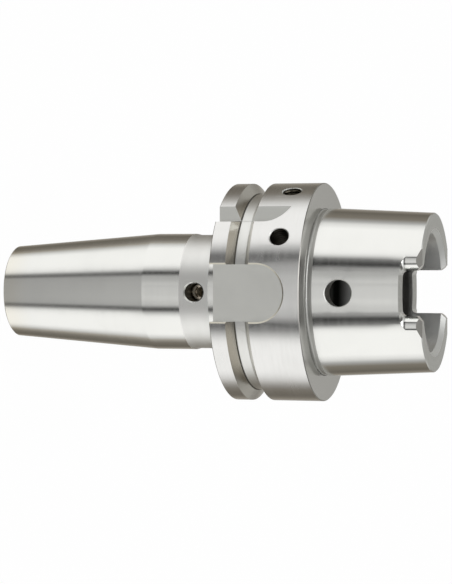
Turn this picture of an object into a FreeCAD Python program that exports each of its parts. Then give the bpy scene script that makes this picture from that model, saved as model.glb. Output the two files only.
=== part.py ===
import FreeCAD, Part
import math
import os
import Sketcher

# Shrink fit tool holder with a 63 mm hollow taper shank, in millimetres.
# Z is the turning axis. The holder stands on its nose face at Z = 0 and its shank points up.
# The marked flat of the flange faces -Y, and the index notch lies towards -X.

os.makedirs("parts", exist_ok=True)
doc = FreeCAD.newDocument("ShrinkFitHolder")

# Driving sizes: name, value and what it measures
SIZES = [
    ("projection", 95.0, "nose face to the flange's contact face"),
    ("nose_dia", 27.0, "clamping end at the nose face"),
    ("nose_edge", 0.3, "bevel round the nose face"),
    ("neck_dia", 34.0, "neck behind the clamping cone"),
    ("cone_length", 44.5, "length of the clamping cone"),
    ("recess_from_face", 30.6, "neck recess, near end to the contact face"),
    ("recess_width", 8.7, "neck recess along the axis"),
    ("recess_depth", 0.35, "neck recess below the neck"),
    ("recess_radius", 3.0, "run-out radius at the recess's far end"),
    ("flange_dia", 63.0, "flange outside"),
    ("flange_width", 26.0, "flange along the axis"),
    ("flange_edge", 0.2, "bevel on the flange's rims"),
    ("vee_from_face", 18.0, "gripper groove centre to the contact face"),
    ("vee_width", 6.76, "gripper groove at the flange's outside"),
    ("vee_flank", 30.0, "groove flank to the radial plane, degrees"),
    ("vee_depth", 3.1, "depth of the gripper groove"),
    ("vee_corner", 0.5, "radius at the groove's floor"),
    ("taper_gauge_dia", 48.01, "shank taper at the gauge plane"),
    ("taper_gauge_plane", 6.3, "contact face to the gauge plane"),
    ("taper_ratio", 9.98, "taper, length for each unit of diameter"),
    ("shank_length", 32.0, "contact face to the shank's end"),
    ("shank_lead_length", 0.3, "bevel round the shank's end, along the axis"),
    ("shank_lead_drop", 0.2, "bevel round the shank's end, in radius"),
    ("relief_dia", 47.1, "relief groove at the shank's base"),
    ("relief_radius", 0.72, "radius between relief and contact face"),
    ("relief_floor_end", 0.9, "contact face to the end of the relief's floor"),
    ("relief_end", 1.8, "contact face to the start of the taper"),
    ("mouth_dia", 34.0, "bore at the shank's mouth"),
    ("mouth_lead", 1.3, "bevel at the mouth"),
    ("clamp_plane", 18.13, "contact face to the clamping shoulder's gauge plane"),
    ("clamp_dia", 37.0, "clamping shoulder at its gauge plane"),
    ("clamp_angle", 30.0, "clamping shoulder to the radial plane, degrees"),
    ("undercut_dia", 40.0, "undercut behind the clamping shoulder"),
    ("undercut_end", 7.5, "contact face to the undercut's end"),
    ("well_dia", 34.5, "bore below the undercut"),
    ("well_floor", 3.0, "floor of the hollow, behind the contact face"),
    ("well_corner", 1.5, "radius round the hollow's floor"),
    ("tube_thread_dia", 16.92, "core of the coolant tube's M18 x 1 thread"),
    ("tube_thread_depth", 12.0, "depth of that seat"),
    ("tube_gland_dia", 14.4, "seat for the tube's seal"),
    ("tube_gland_depth", 3.0, "depth of the seal's seat"),
    ("tool_bore_dia", 16.0, "bore for the tool's shank"),
    ("tool_bore_length", 47.0, "clamping bore from the nose face"),
    ("tool_bore_lead", 1.0, "lead-in bevel at the nose, along the axis"),
    ("tool_bore_lead_rise", 0.5, "lead-in bevel at the nose, in radius"),
    ("tool_relief_dia", 16.6, "relief behind the clamping bore"),
    ("tool_relief_end", 50.0, "nose face to the relief's end"),
    ("stop_thread_dia", 12.0, "thread of the length stop screw"),
    ("stop_length", 22.0, "length of the stop screw"),
    ("stop_front", 52.2, "nose face to the stop screw's front"),
    ("stop_socket", 6.0, "hexagon socket of the stop screw, across flats"),
    ("stop_socket_depth", 8.0, "depth of that socket"),
    ("stop_coolant_dia", 4.5, "coolant passage through the stop screw"),
    ("stop_edge", 0.8, "bevels on the stop screw's ends"),
    ("lock_drill_dia", 5.35, "pitch diameter of the radial lock screw's M6 thread"),
    ("lock_from_face", 35.0, "lock screw axis to the contact face"),
    ("lock_length", 4.0, "length of the lock screw"),
    ("lock_socket", 3.0, "hexagon socket of the lock screw, across flats"),
    ("lock_socket_depth", 1.8, "depth of that socket"),
    ("lock_edge", 0.4, "bevels on the lock screw's ends"),
    ("lock_gap", 0.12, "lock screw tip to the stop screw"),
    ("thread_clearance", 0.05, "radial play between a screw and its hole"),
    ("lock_sink_dia", 6.4, "countersink of the lock screw's hole"),
    ("mark_flat_depth", 5.0, "flange's outside to the marked flat"),
    ("mark_slot_width", 16.0, "slot over the marked flat"),
    ("rear_flat_depth", 11.5, "flange's outside to the rear flat"),
    ("rear_slot_width", 18.0, "slot over the rear flat"),
    ("slot_land", 4.7, "contact face to the slots' round ends"),
    ("slot_edge", 0.45, "bevel along the slots' outer edges"),
    ("notch_depth", 3.216, "flange's outside to the index notch's corner"),
    ("notch_cutter_dia", 16.0, "round end of the index notch"),
    ("notch_land", 4.1, "contact face to the index notch's round end"),
    ("drive_slot_width", 12.54, "drive slots in the shank's end"),
    ("drive_slot_front", 6.0, "depth of the front drive slot"),
    ("drive_slot_rear", 10.0, "depth of the rear drive slot"),
    ("drive_slot_corner", 1.5, "radius in the drive slots' corners"),
    ("drive_slot_round", 2.75, "rounding of the drive slots' outer edges"),
    ("drive_slot_mouth", 1.5, "bevel where the drive slots' walls meet the shank's end"),
    ("facet_width", 3.7, "facet outside a drive slot, on the shank's end"),
    ("facet_angle", 38.0, "that facet to the radial plane, degrees"),
    ("access_dia", 7.5, "holes to the clamping system"),
    ("access_from_face", 9.2, "those holes to the contact face"),
    ("access_edge", 0.25, "bevel on those holes"),
    ("balance_drill_dia", 5.35, "pitch diameter of the balancing screws' M6 threads"),
    ("balance_sink_dia", 5.95, "countersinks of the balancing holes"),
    ("balance_from_face", 6.7, "those holes to the contact face"),
    ("balance_depth", 9.0, "depth of the balancing holes"),
    ("balance_angle_low", 30.0, "first balancing hole from the marked flat, degrees"),
    ("balance_angle_high", 66.0, "second balancing hole from the marked flat, degrees"),
]

sheet = doc.addObject("Spreadsheet::Sheet", "Sizes")
for row, (name, value, meaning) in enumerate(SIZES, start=1):
    sheet.set("A%d" % row, meaning)
    sheet.set("B%d" % row, str(value))
    sheet.setAlias("B%d" % row, name)
doc.recompute()


# Sizes that carry both their number and the expression that the document keeps
class Size:
    """A number with the expression that ties it to the sheet."""

    def __init__(self, value, text):
        self.value = value
        self.text = text

    def __add__(self, other):
        return Size(self.value + number(other), "(%s + %s)" % (self.text, words(other)))

    def __sub__(self, other):
        return Size(self.value - number(other), "(%s - %s)" % (self.text, words(other)))

    def __mul__(self, other):
        return Size(self.value * number(other), "(%s * %s)" % (self.text, words(other)))

    def __truediv__(self, other):
        return Size(self.value / number(other), "(%s / %s)" % (self.text, words(other)))

    def __neg__(self):
        return Size(-self.value, "(0 - %s)" % self.text)


def number(item):
    return item.value if isinstance(item, Size) else float(item)


def words(item):
    return item.text if isinstance(item, Size) else repr(float(item))


def root(item):
    return Size(math.sqrt(item.value), "sqrt(%s)" % item.text)


def sine(angle):
    return Size(math.sin(math.radians(angle.value)), "sin(%s)" % angle.text)


def cosine(angle):
    return Size(math.cos(math.radians(angle.value)), "cos(%s)" % angle.text)


def tangent(angle):
    return Size(math.tan(math.radians(angle.value)), "tan(%s)" % angle.text)


size = {name: Size(value, "Sizes.%s" % name) for name, value, meaning in SIZES}
OVERRUN = 1.0
TURN = 360.0
ZERO = Size(0.0, "0")

# Levels along the axis and radii that several features share
contact_face = size["projection"]
shank_end = contact_face + size["shank_length"]
flange_back = contact_face - size["flange_width"]
neck_radius = size["neck_dia"] / 2
flange_radius = size["flange_dia"] / 2
mouth_radius = size["mouth_dia"] / 2
stop_hole_radius = size["stop_thread_dia"] / 2 + size["thread_clearance"]
stop_radius = size["stop_thread_dia"] / 2


def taper_radius(height):
    """Radius of the shank's taper at a height over the contact face."""
    drop = (height - size["taper_gauge_plane"]) / (size["taper_ratio"] * 2)
    return size["taper_gauge_dia"] / 2 - drop


taper_base = taper_radius(ZERO)


# Sketches, drawn as closed outlines whose corners are tied to the sheet
def new_body(name):
    body = doc.addObject("PartDesign::Body", name)
    body.Label = name
    return body


def origin_item(body, role):
    for item in body.Origin.OriginFeatures:
        if item.Role == role:
            return item
    raise ValueError("no %s in %s" % (role, body.Name))


def new_sketch(body, name, plane):
    sketch = body.newObject("Sketcher::SketchObject", name)
    sketch.AttachmentSupport = [(origin_item(body, plane), "")]
    sketch.MapMode = "FlatFace"
    return sketch


def shift_sketch(sketch, distance):
    """Move a sketch along its own normal."""
    sketch.AttachmentOffset = FreeCAD.Placement(
        FreeCAD.Vector(0, 0, distance.value), FreeCAD.Rotation())
    sketch.setExpression("AttachmentOffset.Base.z", distance.text)


def tie(sketch, kind, places, item):
    """Add a dimension and bind it to the sheet."""
    index = sketch.addConstraint(Sketcher.Constraint(kind, *places, number(item)))
    if isinstance(item, Size):
        sketch.setExpression("Constraints[%d]" % index, item.text)


def pin_point(sketch, side, end, across, along):
    """Hold one end of a side at a place measured from the sketch's origin."""
    if isinstance(across, Size):
        tie(sketch, "DistanceX", (-1, 1, side, end), across)
    else:
        sketch.addConstraint(Sketcher.Constraint("PointOnObject", side, end, -2))
    if isinstance(along, Size):
        tie(sketch, "DistanceY", (-1, 1, side, end), along)
    else:
        sketch.addConstraint(Sketcher.Constraint("PointOnObject", side, end, -1))


def arc_between(start, end, radius, clockwise):
    """The short arc from start to end that turns the given way."""
    chord = end - start
    middle = (start + end) * 0.5
    reach = math.sqrt(max(radius * radius - chord.Length * chord.Length / 4, 0.0))
    left = FreeCAD.Vector(-chord.y, chord.x, 0).normalize()
    centre = middle - left * reach if clockwise else middle + left * reach
    first, last = (end, start) if clockwise else (start, end)
    angle_first = math.atan2(first.y - centre.y, first.x - centre.x)
    angle_last = math.atan2(last.y - centre.y, last.x - centre.x)
    circle = Part.Circle(centre, FreeCAD.Vector(0, 0, 1), radius)
    return Part.ArcOfCircle(circle, angle_first, angle_last)


def draw_outline(sketch, corners, arcs=()):
    """Draw a closed outline through the corners.

    A corner is (across, along); a plain 0 puts it on that axis. arcs lists
    (number of the side, radius, clockwise) for the sides that are round.
    """
    rounds = {side: (radius, clockwise) for side, radius, clockwise in arcs}
    points = [FreeCAD.Vector(number(across), number(along), 0) for across, along in corners]
    starts, ends = {}, {}
    for side, start in enumerate(points):
        end = points[(side + 1) % len(points)]
        starts[side], ends[side] = 1, 2
        if side in rounds:
            radius, clockwise = rounds[side]
            sketch.addGeometry(arc_between(start, end, radius.value, clockwise), False)
            if clockwise:
                starts[side], ends[side] = 2, 1
        else:
            sketch.addGeometry(Part.LineSegment(start, end), False)
    for side, (across, along) in enumerate(corners):
        before = (side - 1) % len(corners)
        sketch.addConstraint(
            Sketcher.Constraint("Coincident", before, ends[before], side, starts[side]))
        pin_point(sketch, side, starts[side], across, along)
    for side, (radius, clockwise) in rounds.items():
        chord = (points[(side + 1) % len(points)] - points[side]).Length
        if abs(chord - radius.value * 2) < 1e-6:
            tie(sketch, "DistanceY", (-1, 1, side, 3), corners[side][1])
        else:
            tie(sketch, "Radius", (side,), radius)


def draw_circle(sketch, radius, across, along):
    centre = FreeCAD.Vector(number(across), number(along), 0)
    side = sketch.addGeometry(
        Part.Circle(centre, FreeCAD.Vector(0, 0, 1), radius.value), False)
    pin_point(sketch, side, 3, across, along)
    tie(sketch, "Radius", (side,), radius)


def draw_hexagon(sketch, across_flats, across, along):
    """A regular hexagon with a corner straight above its centre."""
    corner = across_flats / math.sqrt(3.0)
    half = across_flats / 2
    middle_across = across if isinstance(across, Size) else None
    shifts = [(0, corner), (-half, corner / 2), (-half, -corner / 2),
              (0, -corner), (half, -corner / 2), (half, corner / 2)]
    corners = []
    for right, up in shifts:
        if middle_across is None:
            place = right
        else:
            place = middle_across + right
        height = along + up if isinstance(along, Size) else up
        corners.append((place, height))
    draw_outline(sketch, corners)


# Features
def turn(body, kind, name, sketch):
    """Revolve a sketch's outline round the Z axis, to add or to cut."""
    feature = body.newObject("PartDesign::" + kind, name)
    feature.Profile = sketch
    feature.ReferenceAxis = (sketch, ["V_Axis"])
    feature.Angle = TURN
    sketch.Visibility = False
    doc.recompute()
    return feature


def cut(body, name, sketch, depth=None, outward=False):
    """Pocket a sketch's outline, through all both ways where no depth is given."""
    feature = body.newObject("PartDesign::Pocket", name)
    feature.Profile = sketch
    if depth is None:
        feature.Type = "ThroughAll"
        feature.Midplane = True
    else:
        feature.Type = "Length"
        feature.setExpression("Length", depth.text)
        feature.Reversed = outward
    sketch.Visibility = False
    doc.recompute()
    return feature


def edges_where(shape, test):
    return ["Edge%d" % (place + 1) for place, edge in enumerate(shape.Edges) if test(edge)]


def dress(body, kind, name, amount_name, amount, test):
    """Round or bevel the tip's edges that pass the test."""
    base = body.Tip
    names = edges_where(base.Shape, test)
    if not names:
        raise ValueError("no edge found for %s" % name)
    feature = body.newObject("PartDesign::" + kind, name)
    feature.Base = (base, names)
    feature.setExpression(amount_name, amount.text)
    doc.recompute()
    return feature


def is_ring(edge, radius, height):
    """True for a circle round the Z axis with this radius at this height."""
    curve = edge.Curve
    if not isinstance(curve, Part.Circle):
        return False
    centre = curve.Center
    off_axis = math.hypot(centre.x, centre.y)
    return (off_axis < 1e-4 and abs(curve.Radius - radius) < 1e-4
            and abs(centre.z - height) < 1e-4)


def thread_hole(body, name, angle, from_face, surface_radius, diameter, sink, depth):
    """A radial hole with a countersink, turned by angle from the marked flat."""
    sketch = new_sketch(body, name + "_centre", "XZ_Plane")
    turned = FreeCAD.Rotation(FreeCAD.Vector(0, 1, 0), -angle.value)
    across = -(surface_radius * sine(angle))
    outward = surface_radius * cosine(angle)
    sketch.AttachmentOffset = FreeCAD.Placement(
        FreeCAD.Vector(across.value, 0, outward.value), turned)
    sketch.setExpression("AttachmentOffset.Base.x", across.text)
    sketch.setExpression("AttachmentOffset.Base.z", outward.text)
    sketch.setExpression("AttachmentOffset.Rotation.Axis.x", "0")
    sketch.setExpression("AttachmentOffset.Rotation.Axis.y", "1")
    sketch.setExpression("AttachmentOffset.Rotation.Axis.z", "0")
    sketch.setExpression("AttachmentOffset.Rotation.Angle", (-angle).text)
    draw_circle(sketch, diameter / 2, 0, contact_face - from_face)
    doc.recompute()
    hole = body.newObject("PartDesign::Hole", name)
    hole.Profile = sketch
    hole.Threaded = False
    hole.DepthType = "Dimension"
    hole.DrillPoint = "Flat"
    hole.setExpression("Diameter", diameter.text)
    hole.setExpression("Depth", depth.text)
    hole.HoleCutType = "Countersink"
    hole.HoleCutCustomValues = True
    hole.HoleCutCountersinkAngle = 90.0
    hole.setExpression("HoleCutDiameter", sink.text)
    sketch.Visibility = False
    doc.recompute()
    return hole


# The holder itself, turned, bored and milled from one blank
holder = new_body("chuck_body")

blank_sketch = new_sketch(holder, "blank_outline", "XZ_Plane")
nose_radius = size["nose_dia"] / 2
draw_outline(blank_sketch, [
    (0, 0),
    (nose_radius - size["nose_edge"], 0),
    (nose_radius, size["nose_edge"]),
    (neck_radius, size["cone_length"]),
    (neck_radius, flange_back),
    (flange_radius - size["flange_edge"], flange_back),
    (flange_radius, flange_back + size["flange_edge"]),
    (flange_radius, contact_face - size["flange_edge"]),
    (flange_radius - size["flange_edge"], contact_face),
    (taper_base, contact_face),
    (taper_radius(size["shank_length"] - size["shank_lead_length"]),
     shank_end - size["shank_lead_length"]),
    (taper_radius(size["shank_length"]) - size["shank_lead_drop"], shank_end),
    (0, shank_end),
])
turn(holder, "Revolution", "blank", blank_sketch)

# Gripper groove round the flange
vee_sketch = new_sketch(holder, "gripper_groove_outline", "XZ_Plane")
vee_middle = contact_face - size["vee_from_face"]
vee_floor_radius = flange_radius - size["vee_depth"]
vee_slope = tangent(size["vee_flank"])
vee_half_floor = size["vee_width"] / 2 - size["vee_depth"] * vee_slope
vee_half_mouth = size["vee_width"] / 2 + vee_slope * OVERRUN
draw_outline(vee_sketch, [
    (vee_floor_radius, vee_middle - vee_half_floor),
    (flange_radius + OVERRUN, vee_middle - vee_half_mouth),
    (flange_radius + OVERRUN, vee_middle + vee_half_mouth),
    (vee_floor_radius, vee_middle + vee_half_floor),
])
turn(holder, "Groove", "gripper_groove", vee_sketch)
vee_levels = [(vee_middle - vee_half_floor).value, (vee_middle + vee_half_floor).value]
dress(holder, "Fillet", "gripper_groove_corners", "Radius", size["vee_corner"],
      lambda edge: any(is_ring(edge, vee_floor_radius.value, level) for level in vee_levels))

# Shallow recess round the neck, with a swept run-out at its far end
recess_sketch = new_sketch(holder, "neck_recess_outline", "XZ_Plane")
recess_top = contact_face - size["recess_from_face"]
recess_bottom = recess_top - size["recess_width"]
recess_floor = neck_radius - size["recess_depth"]
recess_runout = root(size["recess_radius"] * size["recess_depth"] * 2
                     - size["recess_depth"] * size["recess_depth"])
draw_outline(recess_sketch, [
    (neck_radius, recess_bottom),
    (neck_radius + OVERRUN, recess_bottom),
    (neck_radius + OVERRUN, recess_top),
    (recess_floor, recess_top),
    (recess_floor, recess_bottom + recess_runout),
], arcs=[(4, size["recess_radius"], True)])
turn(holder, "Groove", "neck_recess", recess_sketch)

# Relief between the contact face and the taper
relief_sketch = new_sketch(holder, "shank_relief_outline", "XZ_Plane")
relief_floor = size["relief_dia"] / 2
relief_outside = taper_base + OVERRUN
draw_outline(relief_sketch, [
    (relief_floor + size["relief_radius"], contact_face),
    (relief_floor, contact_face + size["relief_radius"]),
    (relief_floor, contact_face + size["relief_floor_end"]),
    (taper_radius(size["relief_end"]), contact_face + size["relief_end"]),
    (relief_outside, contact_face + size["relief_end"]),
    (relief_outside, contact_face),
], arcs=[(0, size["relief_radius"], True)])
turn(holder, "Groove", "shank_relief", relief_sketch)

# Hollow of the shank: mouth, clamping shoulder, undercut and well
hollow_sketch = new_sketch(holder, "shank_hollow_outline", "XZ_Plane")
clamp_radius = size["clamp_dia"] / 2
undercut_radius = size["undercut_dia"] / 2
well_radius = size["well_dia"] / 2
clamp_slope = tangent(size["clamp_angle"])
clamp_level = contact_face + size["clamp_plane"]
well_level = contact_face - size["well_floor"]
draw_outline(hollow_sketch, [
    (0, well_level),
    (well_radius, well_level),
    (well_radius, contact_face + size["undercut_end"] - (undercut_radius - well_radius)),
    (undercut_radius, contact_face + size["undercut_end"]),
    (undercut_radius, clamp_level - (undercut_radius - clamp_radius) * clamp_slope),
    (mouth_radius, clamp_level + (clamp_radius - mouth_radius) * clamp_slope),
    (mouth_radius, shank_end - size["mouth_lead"]),
    (mouth_radius + size["mouth_lead"] + OVERRUN, shank_end + OVERRUN),
    (0, shank_end + OVERRUN),
])
turn(holder, "Groove", "shank_hollow", hollow_sketch)
dress(holder, "Fillet", "well_corner", "Radius", size["well_corner"],
      lambda edge: is_ring(edge, well_radius.value, well_level.value))

# Bores on the axis: tool seat, stop screw thread and coolant tube seat
axial_sketch = new_sketch(holder, "axial_bores_outline", "XZ_Plane")
tool_radius = size["tool_bore_dia"] / 2
tool_relief_radius = size["tool_relief_dia"] / 2
tube_radius = size["tube_thread_dia"] / 2
gland_radius = size["tube_gland_dia"] / 2
tube_level = well_level - size["tube_thread_depth"]
gland_level = tube_level - size["tube_gland_depth"]
lead_slope = size["tool_bore_lead_rise"] / size["tool_bore_lead"]
below_nose = ZERO - OVERRUN
draw_outline(axial_sketch, [
    (0, below_nose),
    (tool_radius + size["tool_bore_lead_rise"] + lead_slope * OVERRUN, below_nose),
    (tool_radius, size["tool_bore_lead"]),
    (tool_radius, size["tool_bore_length"]),
    (tool_relief_radius, size["tool_bore_length"] + (tool_relief_radius - tool_radius)),
    (tool_relief_radius, size["tool_relief_end"]),
    (stop_hole_radius, size["tool_relief_end"] + (tool_relief_radius - stop_hole_radius)),
    (stop_hole_radius, gland_level),
    (gland_radius, gland_level),
    (gland_radius, tube_level),
    (tube_radius, tube_level),
    (tube_radius, well_level + OVERRUN),
    (0, well_level + OVERRUN),
])
turn(holder, "Groove", "axial_bores", axial_sketch)


# Slots across the flange, open to the nose side and round at their shank end
def flange_slot(name, plane_angle, width, height):
    """Mill one slot down to a flat at this height over the axis."""
    sketch = new_sketch(holder, name + "_outline", "XZ_Plane")
    if plane_angle:
        sketch.AttachmentOffset = FreeCAD.Placement(
            FreeCAD.Vector(0, 0, -height.value),
            FreeCAD.Rotation(FreeCAD.Vector(0, 1, 0), plane_angle))
        sketch.setExpression("AttachmentOffset.Base.z", (-height).text)
    else:
        shift_sketch(sketch, height)
    half = width / 2
    start = flange_back - OVERRUN
    round_start = contact_face - size["slot_land"] - half
    draw_outline(sketch, [
        (-half, start),
        (half, start),
        (half, round_start),
        (-half, round_start),
    ], arcs=[(2, half, False)])
    return cut(holder, name, sketch, flange_radius, outward=True)


flange_slot("mark_slot", 0, size["mark_slot_width"], flange_radius - size["mark_flat_depth"])
flange_slot("rear_slot", 180, size["rear_slot_width"], flange_radius - size["rear_flat_depth"])


def on_cylinder(edge, radius):
    """True where both ends and the middle of an edge lie at this radius from the Z axis."""
    first, last = edge.ParameterRange
    places = [edge.valueAt(first), edge.valueAt((first + last) / 2), edge.valueAt(last)]
    return all(abs(math.hypot(place.x, place.y) - radius) < 1e-3 for place in places)


def is_slot_rim(edge):
    """True for a slot's edge on the flange's outside, but not for the flange's own rims."""
    if not on_cylinder(edge, flange_radius.value):
        return False
    box = edge.BoundBox
    return box.ZLength > 1e-3 and max(abs(box.XMin), abs(box.XMax)) < slot_reach


slot_reach = max(size["mark_slot_width"].value, size["rear_slot_width"].value) / 2 + 1e-3
dress(holder, "Chamfer", "slot_edges", "Size", size["slot_edge"], is_slot_rim)

# Index notch at 45 degrees, with the cutter's round at its end
notch_sketch = new_sketch(holder, "index_notch_outline", "XZ_Plane")
notch_offset = (flange_radius - size["notch_depth"]) / math.sqrt(2.0)
shift_sketch(notch_sketch, notch_offset)
notch_radius = size["notch_cutter_dia"] / 2
notch_centre = contact_face - size["notch_land"] - notch_radius
draw_outline(notch_sketch, [
    (-notch_offset, flange_back - OVERRUN),
    (-notch_offset, notch_centre),
    (-(notch_offset + notch_radius), notch_centre + notch_radius),
    (-(flange_radius + OVERRUN), notch_centre + notch_radius),
    (-(flange_radius + OVERRUN), flange_back - OVERRUN),
], arcs=[(1, notch_radius, False)])
cut(holder, "index_notch", notch_sketch, flange_radius, outward=True)


# Drive slots in the shank's end
def drive_slot(name, plane_angle, depth):
    """Cut one drive slot through the shank's wall, with round corners and a bevelled mouth."""
    sketch = new_sketch(holder, name + "_outline", "XZ_Plane")
    half = size["drive_slot_width"] / 2
    corner = size["drive_slot_corner"]
    floor = shank_end - depth
    mouth = size["drive_slot_mouth"]
    top = shank_end + OVERRUN
    if plane_angle:
        sketch.AttachmentOffset = FreeCAD.Placement(
            FreeCAD.Vector(0, 0, 0),
            FreeCAD.Rotation(FreeCAD.Vector(0, 1, 0), plane_angle))
    draw_outline(sketch, [
        (-(half + mouth + OVERRUN), top),
        (-half, shank_end - mouth),
        (-half, floor + corner),
        (-(half - corner), floor),
        (half - corner, floor),
        (half, floor + corner),
        (half, shank_end - mouth),
        (half + mouth + OVERRUN, top),
    ], arcs=[(2, corner, False), (4, corner, False)])
    return cut(holder, name, sketch, flange_radius, outward=True)


def rounding_centre(height):
    """Distance of the edge rounding's centre from the XZ plane, at a height over the contact face."""
    across = size["drive_slot_width"] / 2 + size["drive_slot_round"]
    reach = taper_radius(height) - size["drive_slot_round"]
    return root(reach * reach - across * across)


def drive_slot_rounding(name, front, depth):
    """Round both outer edges of a drive slot, as a mill with a corner radius does.

    The cut turns round an axis that leans as the shank's taper does, so it runs out
    on the taper all the way down. It is then mirrored to the slot's other edge.
    """
    way = -1 if front else 1
    radius = size["drive_slot_round"]
    corner = size["drive_slot_corner"]
    wall = size["drive_slot_width"] / 2
    across = wall + radius
    top = size["shank_length"] + OVERRUN
    low = size["shank_length"] - depth + corner
    rise = top - low
    lean = (rounding_centre(low) - rounding_centre(top)) * way
    sketch = new_sketch(holder, name + "_outline", "XZ_Plane")
    base_up = contact_face + low
    base_out = rounding_centre(low) * -way
    sketch.AttachmentOffset = FreeCAD.Placement(
        FreeCAD.Vector(0, base_up.value, base_out.value),
        FreeCAD.Rotation(FreeCAD.Vector(1, 0, 0),
                         math.degrees(math.atan2(lean.value, rise.value))))
    for key, text in (("Base.y", base_up.text), ("Base.z", base_out.text),
                      ("Rotation.Axis.x", "1"), ("Rotation.Axis.y", "0"),
                      ("Rotation.Axis.z", "0"),
                      ("Rotation.Angle", "atan2(%s; %s)" % (lean.text, rise.text))):
        sketch.setExpression("AttachmentOffset." + key, text)
    inside = wall - corner - OVERRUN * 2
    draw_outline(sketch, [
        (wall, rise),
        (wall, 0),
        (wall - corner, -corner),
        (inside, -corner),
        (inside, rise),
    ], arcs=[(1, corner, True)])
    axis = sketch.addGeometry(Part.LineSegment(
        FreeCAD.Vector(across.value, 0, 0), FreeCAD.Vector(across.value, rise.value, 0)), True)
    pin_point(sketch, axis, 1, across, 0)
    pin_point(sketch, axis, 2, across, rise)
    turned = holder.newObject("PartDesign::Groove", name + "_turned")
    turned.Profile = sketch
    turned.ReferenceAxis = (sketch, ["Axis0"])
    turned.setExpression("Angle", "90 deg + atan2(%s; %s)"
                         % (across.text, rounding_centre(top).text))
    turned.Reversed = not front
    sketch.Visibility = False
    doc.recompute()

    both = holder.newObject("PartDesign::Mirrored", name)
    both.Originals = [turned]
    both.MirrorPlane = (origin_item(holder, "YZ_Plane"), [""])
    holder.Tip = both
    doc.recompute()


def drive_slot_facet(name, front):
    """Break the corners between a drive slot's rounded edges and the shank's end."""
    way = -1 if front else 1
    sketch = new_sketch(holder, name + "_outline", "YZ_Plane")
    slope = tangent(size["facet_angle"])
    inner = taper_radius(size["shank_length"]) - size["shank_lead_drop"] - size["facet_width"]
    outer = taper_radius(size["relief_end"]) + OVERRUN
    draw_outline(sketch, [
        (inner * way, shank_end),
        (outer * way, shank_end - (outer - inner) * slope),
        (outer * way, shank_end + OVERRUN),
        (inner * way, shank_end + OVERRUN),
    ])
    cut(holder, name, sketch)


drive_slot("front_drive_slot", 0, size["drive_slot_front"])
drive_slot("rear_drive_slot", 180, size["drive_slot_rear"])
drive_slot_rounding("front_slot_edges", True, size["drive_slot_front"])
drive_slot_rounding("rear_slot_edges", False, size["drive_slot_rear"])
drive_slot_facet("front_slot_facets", True)
drive_slot_facet("rear_slot_facets", False)

# Holes to the clamping system, straight through both walls
access_sketch = new_sketch(holder, "access_holes_outline", "XZ_Plane")
draw_circle(access_sketch, size["access_dia"] / 2, 0, contact_face + size["access_from_face"])
cut(holder, "access_holes", access_sketch)


def is_access_rim(edge):
    """True for an access hole's edge on the shank's outside."""
    box = edge.BoundBox
    middle = contact_face + size["access_from_face"]
    return (abs(box.ZLength - size["access_dia"].value) < 1e-2
            and abs((box.ZMin + box.ZMax) / 2 - middle.value) < 1e-2
            and min(abs(box.YMin), abs(box.YMax)) > undercut_radius.value)


dress(holder, "Chamfer", "access_edges", "Size", size["access_edge"], is_access_rim)

# Threaded holes for balancing, and the same two again on the far side
balance_holes = [
    thread_hole(holder, "balance_hole_low", size["balance_angle_low"],
                size["balance_from_face"], flange_radius,
                size["balance_drill_dia"], size["balance_sink_dia"], size["balance_depth"]),
    thread_hole(holder, "balance_hole_high", size["balance_angle_high"],
                size["balance_from_face"], flange_radius,
                size["balance_drill_dia"], size["balance_sink_dia"], size["balance_depth"]),
]
pattern = holder.newObject("PartDesign::PolarPattern", "balance_holes")
pattern.Originals = balance_holes
pattern.Axis = (origin_item(holder, "Z_Axis"), [""])
pattern.Angle = TURN
pattern.Occurrences = 2
holder.Tip = pattern
doc.recompute()

# Threaded hole of the radial lock screw, down to the stop screw's thread
thread_hole(holder, "lock_screw_hole", ZERO, size["lock_from_face"],
            recess_floor, size["lock_drill_dia"], size["lock_sink_dia"],
            recess_floor - stop_hole_radius / 2)

# Length stop screw, a hollow threaded plug with its hexagon socket towards the shank
stop = new_body("length_stop_screw")
stop_end = size["stop_front"] + size["stop_length"]
stop_edge = size["stop_edge"]
coolant_radius = size["stop_coolant_dia"] / 2
stop_sketch = new_sketch(stop, "stop_outline", "XZ_Plane")
draw_outline(stop_sketch, [
    (coolant_radius, size["stop_front"]),
    (stop_radius - stop_edge, size["stop_front"]),
    (stop_radius, size["stop_front"] + stop_edge),
    (stop_radius, stop_end - stop_edge),
    (stop_radius - stop_edge, stop_end),
    (coolant_radius, stop_end),
])
turn(stop, "Revolution", "stop_blank", stop_sketch)
socket_sketch = new_sketch(stop, "stop_socket_outline", "XY_Plane")
shift_sketch(socket_sketch, stop_end)
draw_hexagon(socket_sketch, size["stop_socket"], 0, 0)
cut(stop, "stop_socket", socket_sketch, size["stop_socket_depth"])

# Radial lock screw with its own hexagon socket, set against the stop screw
lock = new_body("neck_set_screw")
lock_level = contact_face - size["lock_from_face"]
lock_radius = size["lock_drill_dia"] / 2 - size["thread_clearance"]
lock_tip = stop_radius + size["lock_gap"]
lock_head = lock_tip + size["lock_length"]
lock_sketch = new_sketch(lock, "lock_outline", "XZ_Plane")
shift_sketch(lock_sketch, lock_tip)
draw_circle(lock_sketch, lock_radius, 0, lock_level)
pad = lock.newObject("PartDesign::Pad", "lock_blank")
pad.Profile = lock_sketch
pad.setExpression("Length", size["lock_length"].text)
lock_sketch.Visibility = False
doc.recompute()
dress(lock, "Chamfer", "lock_edges", "Size", size["lock_edge"],
      lambda edge: isinstance(edge.Curve, Part.Circle))
key_sketch = new_sketch(lock, "lock_socket_outline", "XZ_Plane")
shift_sketch(key_sketch, lock_head)
draw_hexagon(key_sketch, size["lock_socket"], 0, lock_level)
cut(lock, "lock_socket", key_sketch, size["lock_socket_depth"])
drill_sketch = new_sketch(lock, "lock_drill_centre", "XZ_Plane")
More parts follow.
